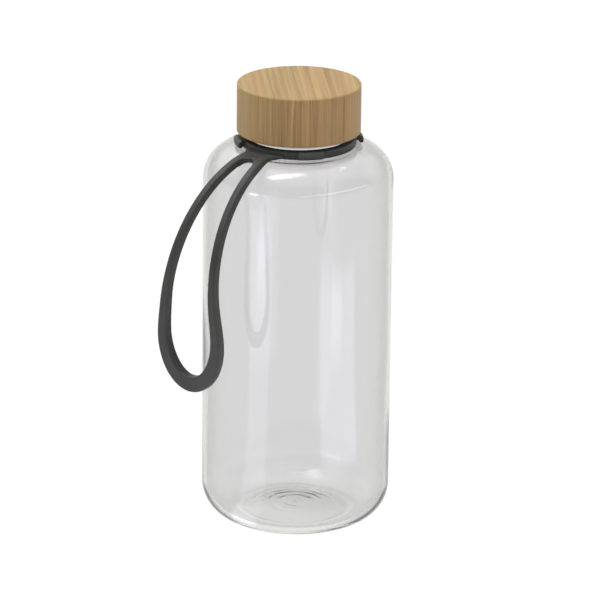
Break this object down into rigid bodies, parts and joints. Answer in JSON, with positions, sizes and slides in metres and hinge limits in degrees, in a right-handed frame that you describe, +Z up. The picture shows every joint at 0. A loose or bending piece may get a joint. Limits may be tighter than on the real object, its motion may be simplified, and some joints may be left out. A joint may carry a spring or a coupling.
{
  "type": "water bottle",
  "caption": "Clear glass water bottle with rounded base and shoulder, a screw-on bamboo lid, and a silicone neck collar with a long carrying loop that hangs at the side.",
  "frame": {"origin": "centre of the base on the bottle's axis, at the height the bottle stands on", "axes": "+Z up the bottle's axis to the lid; the strap's loop hangs on the -Y side; +X to the right of the loop seen from behind it"},
  "size_m": [0.09, 0.1289, 0.2151],
  "materials": {
    "clear_glass": "clear, polished",
    "bamboo": "turned and fine sanded, matte oil",
    "insert_plastic": "moulded, satin",
    "seal_silicone": "matte",
    "strap_silicone": "matte, moulded"
  },
  "bodies": {
    "bottle": {"glass_bottle": "clear_glass"},
    "seal": {"sealing_gasket": "seal_silicone"},
    "lid": {"bamboo_cap": "bamboo", "threaded_insert": "insert_plastic"},
    "collar": {"strap_collar": "strap_silicone"},
    "loop": {"strap_loop": "strap_silicone"}
  },
  "joints": [
    {"name": "lid_lift", "type": "slide", "parent": "bottle", "child": "seal", "axis": [0, 0, 1], "range_m": [0, 0.0302]},
    {"name": "lid_turn", "type": "hinge", "parent": "seal", "child": "lid", "pos_m": [0, 0, 0.2], "axis": [0, 0, 1], "range_deg": [0, 2160]},
    {"name": "strap_swivel", "type": "hinge", "parent": "bottle", "child": "collar", "pos_m": [0, 0, 0.187], "axis": [0, 0, 1], "continuous": true},
    {"name": "loop_swing", "type": "hinge", "parent": "collar", "child": "loop", "pos_m": [0, -0.03118, 0.18643], "axis": [-1, 0, 0], "range_deg": [-4, 85], "stiffness_Nm_per_rad": 0.02, "springref_deg": 4.58}
  ],
  "couplings": [
    {"joint": "lid_lift", "follows": "lid_turn", "m_per_rad": 0.00079577}
  ]
}
